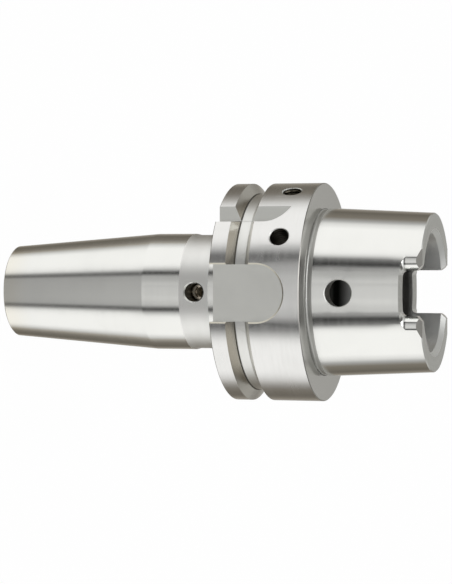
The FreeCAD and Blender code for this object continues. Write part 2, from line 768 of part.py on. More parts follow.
shift_sketch(drill_sketch, lock_head)
draw_circle(drill_sketch, size["lock_socket"] / 2, 0, lock_level)
drill = lock.newObject("PartDesign::Hole", "lock_drill")
drill.Profile = drill_sketch
drill.Threaded = False
drill.DepthType = "Dimension"
drill.DrillPoint = "Angled"
drill.DrillPointAngle = 118.0
drill.setExpression("Diameter", size["lock_socket"].text)
drill.setExpression("Depth", size["lock_socket_depth"].text)
drill_sketch.Visibility = False
doc.recompute()

# Every piece is checked before it is written
for item in doc.Objects:
    if "Invalid" in item.State or "Error" in item.State:
        raise RuntimeError("%s could not be built" % item.Name)
for body in (holder, stop, lock):
    shape = body.Shape
    if shape.isNull() or not shape.isValid() or len(shape.Solids) != 1:
        raise RuntimeError("%s is not one sound solid" % body.Label)
    shape.exportStep("parts/%s.step" % body.Label)
    print(body.Label, round(shape.Volume, 1), shape.BoundBox)
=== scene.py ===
"""Looks of the shrink fit tool holder: steel finishes by zone, studio, floor and camera."""

import logging
import math
from dataclasses import dataclass, field
from enum import Enum

import bpy
from mathutils import Matrix, Vector

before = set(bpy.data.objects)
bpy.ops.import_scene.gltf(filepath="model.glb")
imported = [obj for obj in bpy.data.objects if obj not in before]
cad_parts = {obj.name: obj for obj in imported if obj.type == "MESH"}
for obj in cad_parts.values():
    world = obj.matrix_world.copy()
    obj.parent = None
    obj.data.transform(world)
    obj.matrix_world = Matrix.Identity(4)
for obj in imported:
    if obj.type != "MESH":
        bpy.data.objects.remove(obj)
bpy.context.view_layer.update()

log = logging.getLogger("shrink_fit_holder")
MM = 0.001
MICRON = 0.000001


class Zone(Enum):
    """Parts of the holder's surface that were made in different ways."""

    CONE = "clamping_cone"
    NECK = "neck"
    RECESS = "neck_recess"
    RIM = "flange_rim"
    VEE = "gripper_groove"
    VEE_FLANK = "groove_flank"
    FLAT = "slot_flat"
    SLOT_WALL = "slot_wall"
    NOTCH = "index_notch"
    CONTACT = "contact_face"
    FLANGE_BACK = "flange_back"
    RELIEF = "shank_relief"
    TAPER = "shank_taper"
    SHANK_END = "shank_end"
    FACET = "slot_facet"
    DRIVE_SLOT = "drive_slot"
    MOUTH = "mouth_bevel"
    BORE = "shank_bore"
    HOLLOW = "shank_hollow"
    NOSE_FACE = "nose_face"
    TOOL_BORE = "tool_bore"
    HOLE = "small_hole"
    SINK = "countersink"
    ACCESS = "access_hole"
    FLANGE_EDGE = "flange_edge"
    FLAT_EDGE = "flat_edge"
    EDGE = "bevelled_edge"


class Marks(Enum):
    """The way the tool marks of a finish run."""

    RINGS = "rings along the axis"
    FACE_RINGS = "rings on a flat face"
    MILLED = "straight milling marks"
    THREAD = "thread turns round a radial hole"
    EVEN = "even grain"


# Shader groups


class NodeTree:
    """Short way to add and join nodes in a node tree."""

    def __init__(self, tree: bpy.types.NodeTree) -> None:
        """Keep the tree and start it empty.

        Args:
            tree: The tree to fill.
        """
        self.tree = tree
        tree.nodes.clear()

    def add(self, kind: str, **settings: object) -> bpy.types.Node:
        """Add one node.

        Args:
            kind: The node's Blender type.
            settings: Properties to set on it.

        Returns:
            The new node.
        """
        node = self.tree.nodes.new(kind)
        for name, value in settings.items():
            setattr(node, name, value)
        return node

    def join(self, source: bpy.types.NodeSocket, target: bpy.types.NodeSocket) -> None:
        """Link an output to an input."""
        self.tree.links.new(source, target)

    def put(self, value: object, target: bpy.types.NodeSocket) -> None:
        """Feed an input from an output socket or a plain number.

        Args:
            value: An output socket or a constant.
            target: The input to feed.
        """
        if isinstance(value, bpy.types.NodeSocket):
            self.join(value, target)
        else:
            target.default_value = value

    def calc(self, operation: str, *values: object) -> bpy.types.NodeSocket:
        """Do one sum.

        Args:
            operation: Name of the Math node's operation.
            values: Output sockets or constants.

        Returns:
            The result's socket.
        """
        node = self.add("ShaderNodeMath", operation=operation)
        for index, value in enumerate(values):
            self.put(value, node.inputs[index])
        return node.outputs[0]

    def remap(self, value: object, low: float, high: float, to_low: float,
              to_high: float) -> bpy.types.NodeSocket:
        """Move a value from one range to another, held inside the new one.

        Args:
            value: The value to move.
            low: Start of its range.
            high: End of its range.
            to_low: Result at the start.
            to_high: Result at the end.

        Returns:
            The result's socket.
        """
        node = self.add("ShaderNodeMapRange", interpolation_type="SMOOTHSTEP")
        for name, item in (("Value", value), ("From Min", low), ("From Max", high),
                           ("To Min", to_low), ("To Max", to_high)):
            self.put(item, node.inputs[name])
        return node.outputs["Result"]

    def noise(self, vector: bpy.types.NodeSocket, scale: object, detail: float,
              rough: float) -> bpy.types.NodeSocket:
        """Add a 3-D noise.

        Args:
            vector: Where the noise is read.
            scale: Its scale.
            detail: Number of finer layers.
            rough: Strength of the finer layers.

        Returns:
            The noise value's socket.
        """
        node = self.add("ShaderNodeTexNoise", noise_dimensions="3D")
        self.join(vector, node.inputs["Vector"])
        self.put(scale, node.inputs["Scale"])
        node.inputs["Detail"].default_value = detail
        node.inputs["Roughness"].default_value = rough
        return node.outputs["Fac"]

    def split(self, vector: bpy.types.NodeSocket) -> tuple[bpy.types.NodeSocket, ...]:
        """Take a vector apart into x, y and z."""
        node = self.add("ShaderNodeSeparateXYZ")
        self.join(vector, node.inputs[0])
        return tuple(node.outputs)

    def length(self, x: bpy.types.NodeSocket, y: bpy.types.NodeSocket) -> bpy.types.NodeSocket:
        """Find how far a place at x and y is from the axis."""
        return self.calc("SQRT", self.calc(
            "ADD", self.calc("MULTIPLY", x, x), self.calc("MULTIPLY", y, y)))

    def mix(self, share: bpy.types.NodeSocket, first: object,
            second: object) -> bpy.types.NodeSocket:
        """Mix two colours.

        Args:
            share: Share of the second colour.
            first: First colour, as a socket or three numbers.
            second: Second colour, as a socket or three numbers.

        Returns:
            The mixed colour's socket.
        """
        node = self.add("ShaderNodeMix", data_type="RGBA", clamp_factor=True)
        self.join(share, node.inputs["Factor"])
        for colour, socket in ((first, node.inputs[6]), (second, node.inputs[7])):
            self.put(colour if isinstance(colour, bpy.types.NodeSocket) else (*colour, 1.0),
                     socket)
        return node.outputs[2]

    def use(self, group: bpy.types.NodeTree, **inputs: object) -> bpy.types.Node:
        """Place a shader group and feed its inputs.

        Args:
            group: The group.
            inputs: An output socket or a number for each named input.

        Returns:
            The group's node.
        """
        node = self.add("ShaderNodeGroup", node_tree=group)
        for name, value in inputs.items():
            self.put(value, node.inputs[name])
        return node


@dataclass(frozen=True)
class GroupSocket:
    """One named input or output of a shader group."""

    name: str
    is_input: bool = True
    kind: str = "NodeSocketFloat"
    value: float = 0.0


def new_group(name: str, sockets: list[GroupSocket]) -> tuple[
        bpy.types.NodeTree, NodeTree, bpy.types.Node, bpy.types.Node]:
    """Make an empty shader group with its sockets.

    Args:
        name: The group's name.
        sockets: Its inputs and outputs in order.

    Returns:
        The group, its helper, its input node and its output node.
    """
    group = bpy.data.node_groups.new(name, "ShaderNodeTree")
    for socket in sockets:
        made = group.interface.new_socket(
            socket.name, in_out="INPUT" if socket.is_input else "OUTPUT", socket_type=socket.kind)
        if socket.is_input and socket.kind == "NodeSocketFloat":
            made.default_value = socket.value
    tree = NodeTree(group)
    return group, tree, tree.add("NodeGroupInput"), tree.add("NodeGroupOutput")


class ToolMarks:
    """Shader group with the marks that a cutting or grinding tool leaves."""

    FINE_PART = 0.6
    COARSE_PART = 0.4

    def __init__(self) -> None:
        """Build the group once."""
        self.group, tree, given, result = new_group("tool_marks", [
            GroupSocket("Vector", kind="NodeSocketVector"),
            GroupSocket("Fine", value=1.0),
            GroupSocket("Coarse", value=1.0),
            GroupSocket("Depth", value=1.0),
            GroupSocket("Shade", is_input=False),
            GroupSocket("Height", is_input=False),
            GroupSocket("Gloss", is_input=False),
        ])
        vector = given.outputs["Vector"]
        fine = tree.noise(vector, given.outputs["Fine"], detail=3.0, rough=0.65)
        coarse = tree.noise(vector, given.outputs["Coarse"], detail=2.0, rough=0.55)
        mixed = tree.calc("ADD", tree.calc("MULTIPLY", fine, self.FINE_PART),
                          tree.calc("MULTIPLY", coarse, self.COARSE_PART))
        centred = tree.calc("SUBTRACT", mixed, 0.5)
        shade = tree.calc("ADD", tree.calc("MULTIPLY", centred, given.outputs["Depth"]), 0.5)
        tree.join(shade, result.inputs["Shade"])
        tree.join(mixed, result.inputs["Height"])
        tree.join(coarse, result.inputs["Gloss"])


class ThreadTurns:
    """Shader group with the turns of a thread in a hole that runs outward from the axis."""

    def __init__(self) -> None:
        """Build the group once."""
        self.group, tree, given, result = new_group("thread_turns", [
            GroupSocket("Vector", kind="NodeSocketVector"),
            GroupSocket("Pitch", value=0.001),
            GroupSocket("Height", is_input=False),
        ])
        x, y, _ = tree.split(given.outputs["Vector"])
        turns = tree.calc("DIVIDE", tree.length(x, y), given.outputs["Pitch"])
        tree.join(tree.calc("PINGPONG", turns, 0.5), result.inputs["Height"])


class Smudges:
    """Shader group with the faint film of handled, oiled steel."""

    CLOUDS_PER_METRE = 70.0
    THIN = 0.42
    THICK = 0.68

    def __init__(self) -> None:
        """Build the group once."""
        self.group, tree, given, result = new_group("smudges", [
            GroupSocket("Vector", kind="NodeSocketVector"),
            GroupSocket("Amount", value=0.3),
            GroupSocket("Film", is_input=False),
        ])
        cloud = tree.noise(given.outputs["Vector"], self.CLOUDS_PER_METRE, detail=3.0, rough=0.6)
        film = tree.remap(cloud, self.THIN, self.THICK, 0.0, 1.0)
        tree.join(tree.calc("MULTIPLY", film, given.outputs["Amount"]), result.inputs["Film"])


# Finishes


Colour = tuple[float, float, float]
BRIGHT: Colour = (0.905, 0.915, 0.895)
SILVER: Colour = (0.81, 0.82, 0.79)
GREY: Colour = (0.61, 0.615, 0.59)
# Painted shade: the dark colour that deep parts fade into.
DULL: Colour = (0.13, 0.125, 0.12)
GROOVE_CORNER = 75.5  # height of the groove floor's nose-side corner, in millimetres
GROOVE_SHADE_BLUR = 0.25  # height over which the painted shade line in that corner fades, in millimetres
THREAD_PITCH = 1.0  # in millimetres
THREAD_SHARPNESS = 2.0  # power that narrows the painted highlights on a thread's crests
SHADE_GAIN = 4.0  # contrast of the tool marks for each unit of shade depth
FILM_SHARE = 0.3  # most that the film hides of the steel
FILM_SHADE = 0.86  # the film's brightness beside the steel's dark marks
FILM_DULLING = 0.08  # roughness that the film adds


@dataclass(frozen=True)
class SteelFinish:
    """A bare steel surface with its tool marks.

    The pitches, the run length and the heights in fade are in millimetres, and the relief is
    in microns. Below the heights in fade the colour turns into deep; in the groove's corner,
    the bore and the hollow this is painted shade.
    """

    name: str
    colour: Colour
    roughness: float
    marks: Marks = Marks.EVEN
    anisotropy: float = 0.0
    turn_tangent: float = 0.25
    fine_pitch: float = 0.25
    coarse_pitch: float = 1.2
    run_length: float = 12.0
    shade_depth: float = 0.12
    relief: float = 2.0
    gloss_change: float = 0.06
    smudge: float = 0.25
    fade: tuple[float, float] | None = None
    deep: Colour = DULL

    def stretch(self, tree: NodeTree, place: bpy.types.NodeSocket) -> bpy.types.NodeSocket:
        """Build the vector along which the marks are short, and across which they are long.

        Args:
            tree: The material's node tree.
            place: The position in metres.

        Returns:
            The stretched position in units of the fine pitch.
        """
        x, y, z = tree.split(place)
        long_way = 1.0 / (self.run_length * MM)
        short_way = 1.0 / (self.fine_pitch * MM)
        if self.marks is Marks.RINGS:
            parts = [(x, long_way), (y, long_way), (z, short_way)]
        elif self.marks is Marks.FACE_RINGS:
            parts = [(x, long_way), (y, long_way), (tree.length(x, y), short_way)]
        elif self.marks is Marks.MILLED:
            parts = [(x, short_way), (y, short_way), (z, long_way)]
        else:
            parts = [(x, short_way), (y, short_way), (z, short_way)]
        joined = tree.add("ShaderNodeCombineXYZ")
        for index, (axis, scale) in enumerate(parts):
            tree.join(tree.calc("MULTIPLY", axis, scale), joined.inputs[index])
        return joined.outputs[0]

    def tint(self, tree: NodeTree, place: bpy.types.NodeSocket, shade: bpy.types.NodeSocket,
             film: bpy.types.NodeSocket) -> bpy.types.NodeSocket:
        """Colour the steel by its tool marks, its film, and by its height for painted shade in deep
        parts.

        Args:
            tree: The material's node tree.
            place: The position in metres.
            shade: How light the tool marks are.
            film: How thick the film is.

        Returns:
            The colour's socket.
        """
        dark = tuple(part * (1.0 - self.shade_depth) for part in self.colour)
        light = tuple(min(1.0, part * (1.0 + self.shade_depth)) for part in self.colour)
        filmed = tree.mix(tree.calc("MULTIPLY", film, FILM_SHARE), tree.mix(shade, dark, light),
                          tuple(part * FILM_SHADE for part in dark))
        # Below the fade's heights the colour turns into deep: painted shade in the groove's corner,
        # the bore and the hollow.
        if self.fade is None:
            return filmed
        low, high = self.fade
        share = tree.remap(tree.split(place)[2], low * MM, high * MM, 0.0, 1.0)
        return tree.mix(share, self.deep, filmed)

    def build(self, groups: dict[str, bpy.types.NodeTree]) -> bpy.types.Material:
        """Make the material.

        Args:
            groups: The shared shader groups by name.

        Returns:
            The finished material.
        """
        material = bpy.data.materials.new(self.name)
        material.use_nodes = True
        tree = NodeTree(material.node_tree)
        out = tree.add("ShaderNodeOutputMaterial")
        steel = tree.add("ShaderNodeBsdfPrincipled")
        tree.join(steel.outputs[0], out.inputs["Surface"])
        steel.inputs["Metallic"].default_value = 1.0
        if self.anisotropy:
            steel.inputs["Anisotropic"].default_value = self.anisotropy
            steel.inputs["Anisotropic Rotation"].default_value = self.turn_tangent
            tangent = tree.add("ShaderNodeTangent", direction_type="RADIAL", axis="Z")
            tree.join(tangent.outputs[0], steel.inputs["Tangent"])
        place = tree.add("ShaderNodeNewGeometry").outputs["Position"]
        marks = tree.use(groups["tool_marks"], Vector=self.stretch(tree, place), Fine=1.0,
                         Coarse=self.fine_pitch / self.coarse_pitch,
                         Depth=self.shade_depth * SHADE_GAIN)
        film = tree.use(groups["smudges"], Vector=place, Amount=self.smudge).outputs["Film"]
        shade, height = marks.outputs["Shade"], marks.outputs["Height"]
        # Threaded holes: the colour paints highlights on the thread's crests and shade in its
        # grooves.
        if self.marks is Marks.THREAD:
            turns = tree.use(groups["thread_turns"], Vector=place, Pitch=THREAD_PITCH * MM)
            height = turns.outputs["Height"]
            crest = tree.calc("MULTIPLY", height, 2.0)
            shade = tree.calc("POWER", crest, THREAD_SHARPNESS)
        tree.join(self.tint(tree, place, shade, film), steel.inputs["Base Color"])
        gloss = tree.calc("SUBTRACT", marks.outputs["Gloss"], 0.5)
        rough = tree.calc("ADD", tree.calc("MULTIPLY", gloss, self.gloss_change * 2.0),
                          self.roughness)
        rough = tree.calc("ADD", rough, tree.calc("MULTIPLY", film, FILM_DULLING))
        tree.join(rough, steel.inputs["Roughness"])
        bump = tree.add("ShaderNodeBump")
        bump.inputs["Strength"].default_value = 1.0
        bump.inputs["Distance"].default_value = self.relief * MICRON
        tree.join(height, bump.inputs["Height"])
        tree.join(bump.outputs["Normal"], steel.inputs["Normal"])
        return material


FINISHES: dict[Zone, SteelFinish] = {
    Zone.CONE: SteelFinish("ground_cone", BRIGHT, 0.2, Marks.RINGS, 0.8, run_length=30.0,
                           fine_pitch=0.3, relief=0.15, shade_depth=0.08,
                           fade=(0.5, 9.0), deep=(0.9, 0.885, 0.82)),
    Zone.NECK: SteelFinish("ground_neck", BRIGHT, 0.17, Marks.RINGS, 0.8, run_length=40.0,
                           fine_pitch=0.3, relief=0.1, shade_depth=0.06),
    Zone.RECESS: SteelFinish("turned_recess", (0.985, 1.0, 0.965), 0.46, Marks.RINGS, 0.2,
                             run_length=20.0, fine_pitch=0.3, relief=0.5,
                             shade_depth=0.04),
    Zone.RIM: SteelFinish("turned_rim", BRIGHT, 0.24, Marks.RINGS, 0.8, run_length=8.0,
                          fine_pitch=0.4, relief=0.4, shade_depth=0.16),
    # The groove's floor darkens below its nose-side corner: a painted shade line in the crease.
    Zone.VEE: SteelFinish("turned_groove", BRIGHT, 0.36, Marks.RINGS, 0.4,
                          fine_pitch=0.3, relief=0.1, shade_depth=0.05,
                          fade=(GROOVE_CORNER, GROOVE_CORNER + GROOVE_SHADE_BLUR),
                          deep=(0.1, 0.095, 0.08)),
    # Painted shade: the flanks get a darker colour than the groove's floor.
    Zone.VEE_FLANK: SteelFinish("turned_flank", (0.62, 0.60, 0.55), 0.22, Marks.RINGS, 0.4,
                                fine_pitch=0.3, relief=0.1, shade_depth=0.08),
    Zone.FLAT: SteelFinish("milled_flat", SILVER, 0.34, Marks.EVEN,
                           fine_pitch=0.6, relief=0.5, shade_depth=0.06),
    Zone.SLOT_WALL: SteelFinish("milled_wall", BRIGHT, 0.28, Marks.MILLED,
                                fine_pitch=0.4, relief=0.5, shade_depth=0.05),
    Zone.NOTCH: SteelFinish("milled_notch", SILVER, 0.34, Marks.MILLED,
                            fine_pitch=0.4, relief=0.5, shade_depth=0.04),
    Zone.CONTACT: SteelFinish("ground_face", (0.72, 0.715, 0.69), 0.16, Marks.FACE_RINGS,
                              fine_pitch=0.3, relief=0.05, shade_depth=0.05),
    Zone.FLANGE_BACK: SteelFinish("turned_face", SILVER, 0.32, Marks.FACE_RINGS,
                                  fine_pitch=0.4, relief=0.6, shade_depth=0.08),
    Zone.RELIEF: SteelFinish("turned_relief", GREY, 0.34, Marks.EVEN,
                             relief=0.05, shade_depth=0.03),
    # Painted dark reflection: the slot facets get a dark colour.
    Zone.FACET: SteelFinish("milled_facet", (0.22, 0.215, 0.2), 0.3, Marks.EVEN,
                            relief=0.2, shade_depth=0.05),
    Zone.FLAT_EDGE: SteelFinish("flat_edge", (0.62, 0.60, 0.52), 0.3, Marks.EVEN,
                                relief=0.2, shade_depth=0.03),
    Zone.TAPER: SteelFinish("ground_taper", BRIGHT, 0.13, Marks.RINGS, 0.8,
                            run_length=30.0, fine_pitch=0.3, relief=0.1,
                            shade_depth=0.05),
    Zone.SHANK_END: SteelFinish("turned_end", SILVER, 0.14, Marks.FACE_RINGS,
                                fine_pitch=0.3, relief=0.1, shade_depth=0.06),
    Zone.DRIVE_SLOT: SteelFinish("polished_slot", BRIGHT, 0.1, Marks.EVEN,
                                 relief=0.1, shade_depth=0.02),
    Zone.MOUTH: SteelFinish("turned_mouth", BRIGHT, 0.5, Marks.RINGS, 0.2,
                            relief=0.3, shade_depth=0.05),
    # The bore and the hollow fade to dark colours deep down: painted shade.
    Zone.BORE: SteelFinish("turned_bore", BRIGHT, 0.38, Marks.EVEN, fine_pitch=0.5,
                           relief=1.0, shade_depth=0.14, fade=(115.5, 118.0)),
    Zone.HOLLOW: SteelFinish("dark_hollow", BRIGHT, 0.6, Marks.RINGS,
                             fine_pitch=0.6, relief=2.0, shade_depth=0.2,
                             fade=(94.3, 98.5), deep=(0.02, 0.02, 0.018)),
    Zone.NOSE_FACE: SteelFinish("ground_nose_face", SILVER, 0.28, Marks.FACE_RINGS,
                                relief=0.3, shade_depth=0.05),
    Zone.TOOL_BORE: SteelFinish("honed_bore", GREY, 0.25, Marks.RINGS, 0.5,
                                relief=0.3, shade_depth=0.06),
    # Painted shade: the walls of the small holes get a dark colour.
    Zone.HOLE: SteelFinish("threaded_hole", (0.22, 0.2, 0.155), 0.35, Marks.THREAD, relief=300.0,
                           shade_depth=0.7),
    Zone.SINK: SteelFinish("countersink", SILVER, 0.5, Marks.EVEN, relief=0.3,
                           shade_depth=0.05),
    # Painted shade: the access holes' walls get a dark colour.
    Zone.ACCESS: SteelFinish("bored_hole", (0.15, 0.14, 0.12), 0.45, Marks.EVEN, relief=1.0,
                             shade_depth=0.1),
    # Painted shade: the flange's fine edges get a mid-dark colour.
    Zone.FLANGE_EDGE: SteelFinish("fine_edge", (0.42, 0.41, 0.385), 0.3, Marks.EVEN,
                                  relief=0.2, shade_depth=0.03),
    Zone.EDGE: SteelFinish("bevelled_edge", BRIGHT, 0.22, Marks.EVEN, relief=0.2,
                           shade_depth=0.03),
}
FLAT_ZONES = {Zone.FLAT, Zone.NOTCH, Zone.CONTACT, Zone.FLANGE_BACK, Zone.SHANK_END,
              Zone.NOSE_FACE}
TURNED_ZONES = {Zone.CONE, Zone.NECK, Zone.RIM, Zone.VEE, Zone.TAPER, Zone.MOUTH, Zone.BORE,
                Zone.TOOL_BORE, Zone.FLANGE_EDGE, Zone.VEE_FLANK, Zone.RECESS, Zone.RELIEF}
SCREW_STEEL = SteelFinish("screw_steel", (0.92, 0.84, 0.72), 0.2, Marks.EVEN,
                          fine_pitch=0.3, relief=0.3, shade_depth=0.08)


# Pieces


TOUCH = 0.05  # a face nearer than this to a plane lies on it, in millimetres
HAIR = 0.01  # slack at a height where two zones meet, in millimetres
FACING = 0.9  # part of a normal along an axis, where a face points that way
LEANING = 0.3  # the same, where a face merely leans that way
STRAIGHT = 0.98  # part of a normal away from the axis on turned walls
TURNED = 0.03  # part of a normal round the axis, up to which a face is turned work
SLOPE_SLACK = 0.03  # slack of a slope that marks a zone
TINY = 1e-6


def near(value: float, target: float, reach: float = TOUCH) -> bool:
    """Tell whether a value lies within reach of a target."""
    return abs(value - target) < reach


@dataclass(frozen=True)
class Face:
    """One face of the holder's mesh: its centre in millimetres and its normal."""

    place: Vector
    normal: Vector

    @property
    def radius(self) -> float:
        """Distance of the face from the axis."""
        return math.hypot(self.place.x, self.place.y)

    @property
    def outward(self) -> float:
        """Part of the normal that points away from the axis."""
        along = self.normal.x * self.place.x + self.normal.y * self.place.y
        return along / max(self.radius, TINY)

    @property
    def across(self) -> float:
        """Part of the normal that points round the axis, either way."""
        turn = self.normal.x * self.place.y - self.normal.y * self.place.x
        return abs(turn) / max(self.radius, TINY)


@dataclass(frozen=True)
class HolderSizes:
    """Sizes of the holder that tell its zones apart, in millimetres and degrees.

    Heights are above the nose face, and a reach is half of a width. The slopes, the leans,
    neck_hole_outward and drive_inward are parts of a face's normal.
    """

    nose_edge: float = 0.31
    cone_end: float = 44.5
    recess_start: float = 55.7
    recess_end: float = 64.4
    neck_hole_height: float = 60.0
    neck_hole_outward: float = 0.8
    tool_bore_limit: float = 10.0
    flange_back: float = 69.0
    flange_radius: float = 31.5
    edge_lean: float = 0.02
    chord_sag: float = 0.08
    vee_floor_radius: float = 28.4
    vee_corner: float = 0.3
    vee_corner_lean: float = 0.2
    vee_middle: float = 77.0
    vee_floor_reach: float = 2.2
    vee_reach: float = 5.0
    vee_slope: float = 0.866
    mark_flat: float = 26.5
    rear_flat: float = 20.0
    notch: float = 20.0
    hole_angles: tuple[float, ...] = (-30.0, -66.0, 150.0, 114.0)
    hole_height: float = 88.3
    hole_reach: float = 3.4
    hole_half_angle: float = 6.5
    hole_bottom: float = 22.4
    sink_slopes: tuple[float, float] = (0.4, 0.95)
    hollow_radius: float = 17.3
    hollow_floor: float = 76.9
    contact_face: float = 95.0
    relief_end: float = 96.8
    taper_radius: float = 24.32
    taper_fall: float = 0.0501
    taper_skin: float = 0.9
    access_height: float = 104.2
    access_radius: float = 3.75
    access_sink: float = 0.3
    access_inner: float = 19.9
    drive_half_width: float = 6.27
    drive_edge: float = 3.9
    drive_floor_front: float = 121.0
    drive_floor_rear: float = 117.0
    drive_inner: float = 16.9
    drive_inward: float = -0.5
    facet_slope: float = 0.616
    bore_start: float = 113.9
    mouth_start: float = 125.65
    end_edge: float = 0.35
    shank_end: float = 127.0

    def outer_taper(self, height: float) -> float:
        """Radius of the shank's taper at a height above the floor."""
        return self.taper_radius - self.taper_fall * (height - self.contact_face)


@dataclass
class HolderBody:
    """The one-piece holder, dressed zone by zone."""

    groups: dict[str, bpy.types.NodeTree]
    sizes: HolderSizes = field(default_factory=HolderSizes)
    node: str = "chuck_body"

    def shank_zone(self, face: Face) -> Zone:
        """Tell the zone of a face above the contact face.

        Args:
            face: The face.

        Returns:
            The face's zone.
        """
        s, place, normal, outward = self.sizes, face.place, face.normal, face.outward
        from_access = math.hypot(place.x, place.z - s.access_height)
        if from_access < s.access_radius + s.access_sink and face.radius > s.access_inner \
                and outward < FACING and abs(normal.z) + abs(normal.x) > LEANING:
            return Zone.SINK if outward > s.sink_slopes[0] else Zone.ACCESS
        if near(abs(normal.y), s.facet_slope, SLOPE_SLACK) and abs(normal.x) < HAIR and outward > 0:
            return Zone.FACET
        floor = s.drive_floor_front if place.y < 0 else s.drive_floor_rear
        in_slot = abs(place.x) < s.drive_half_width + s.drive_edge and place.z > floor - HAIR
        if in_slot and face.radius > s.drive_inner and outward > s.drive_inward:
            level = normal.z > FACING and place.z < s.shank_end - 2.0 * TOUCH
            if face.across > TURNED or level:
                return Zone.DRIVE_SLOT
        if place.z > s.shank_end - TOUCH and normal.z > FACING:
            return Zone.SHANK_END
        if place.z > s.mouth_start and outward < -LEANING and normal.z > LEANING:
            return Zone.MOUTH
        if face.radius > s.outer_taper(place.z) - s.taper_skin and outward > LEANING:
            if place.z > s.shank_end - s.end_edge:
                return Zone.EDGE
            return Zone.RELIEF if place.z < s.relief_end else Zone.TAPER
        return Zone.BORE if place.z > s.bore_start else Zone.HOLLOW

    def hole_zone(self, face: Face, angle: float) -> Zone:
        """Tell a countersink from the wall of a hole that runs outward at this angle.

        Args:
            face: The face.
            angle: Degrees from the marked flat to the hole, positive towards +X.

        Returns:
            The face's zone.
        """
        turn = math.radians(angle)
        slope = face.normal.x * math.sin(turn) - face.normal.y * math.cos(turn)
        low, high = self.sizes.sink_slopes
        return Zone.SINK if low < slope < high else Zone.HOLE

    def flange_zone(self, face: Face) -> Zone:
        """Tell the zone of a face of the flange.

        Args:
            face: The face.

        Returns:
            The face's zone.
        """
        s, place, normal, radius = self.sizes, face.place, face.normal, face.radius
        if near(place.y, s.rear_flat) and normal.y > FACING:
            return Zone.FLAT
        if normal.z < -FACING and place.z < s.flange_back + TOUCH:
            return Zone.FLANGE_BACK
        if radius < s.hole_bottom:
            return Zone.TOOL_BORE if radius < s.tool_bore_limit else Zone.HOLE
        if normal.z > FACING and place.z > s.contact_face - TOUCH:
            return Zone.CONTACT
        if radius > s.flange_radius - s.chord_sag and face.outward > STRAIGHT:
            return Zone.RIM
        if near(place.y, -s.mark_flat) and normal.y < -FACING:
            return Zone.FLAT
        if near(place.y, -s.notch) or near(place.x, -s.notch):
            on_floor = radius < s.vee_floor_radius + 2.0 * TOUCH
            in_vee = near(place.z, s.vee_middle, s.vee_floor_reach) and on_floor
            return Zone.VEE if in_vee else Zone.NOTCH
        if near(place.z, s.vee_middle, s.vee_reach):
            if near(abs(normal.z), s.vee_slope, SLOPE_SLACK):
                return Zone.VEE_FLANK
            at_corner = radius < s.vee_floor_radius + s.vee_corner
            lean = s.vee_corner_lean if at_corner else TOUCH
            if radius > s.vee_floor_radius - 2.0 * TOUCH and face.across < lean:
                return Zone.VEE
        angle = math.degrees(math.atan2(place.x, -place.y))
        hole = min(s.hole_angles, key=lambda item: abs(angle - item))
        if near(angle, hole, s.hole_half_angle) and face.outward < STRAIGHT \
                and near(place.z, s.hole_height, s.hole_reach):
            return self.hole_zone(face, hole)
        if face.across < s.edge_lean:
            return Zone.FLANGE_EDGE
        if normal.y < -LEANING and abs(place.y) > s.mark_flat:
            return Zone.FLAT_EDGE
        return Zone.SLOT_WALL

    def zone(self, face: Face) -> Zone:
        """Tell which zone a face belongs to.

        Args:
            face: The face.

        Returns:
            The face's zone.
        """
        s, place = self.sizes, face.place
        if place.z > s.contact_face + HAIR:
            return self.shank_zone(face)
        if face.radius < s.hollow_radius and place.z > s.flange_back + HAIR:
            return Zone.HOLLOW if place.z > s.hollow_floor else Zone.TOOL_BORE
        if place.z > s.flange_back - HAIR:
            return self.flange_zone(face)
        if place.z < HAIR and face.normal.z < -FACING:
            return Zone.NOSE_FACE
        if face.radius < s.tool_bore_limit:
            return Zone.TOOL_BORE
        if face.outward < s.neck_hole_outward and place.y < 0 and abs(place.x) < s.hole_reach \
                and near(place.z, s.neck_hole_height, s.hole_reach):
            found = self.hole_zone(face, 0.0)
            return Zone.EDGE if found is Zone.SINK else found
        if place.z < s.nose_edge:
            return Zone.EDGE
        if place.z < s.cone_end:
            return Zone.CONE
        if s.recess_start < place.z < s.recess_end:
            return Zone.RECESS
        return Zone.NECK

    def dress(self) -> bpy.types.Object:
        """Give every face of the holder its zone's finish.

        Returns:
            The dressed holder.
        """
        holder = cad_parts[self.node]
        mesh = holder.data
        mesh.materials.clear()
        order = list(Zone)
        for zone in order:
            mesh.materials.append(FINISHES[zone].build(self.groups))
        places = {zone: index for index, zone in enumerate(order)}
        counts = {zone: 0 for zone in order}
        for polygon in mesh.polygons:
            zone = self.zone(Face(polygon.center / MM, polygon.normal))
            polygon.material_index = places[zone]
            counts[zone] += 1
        self.smooth(mesh, order)
        log.info("%s: %s", self.node, {zone.name: count for zone, count in counts.items()})
        return holder

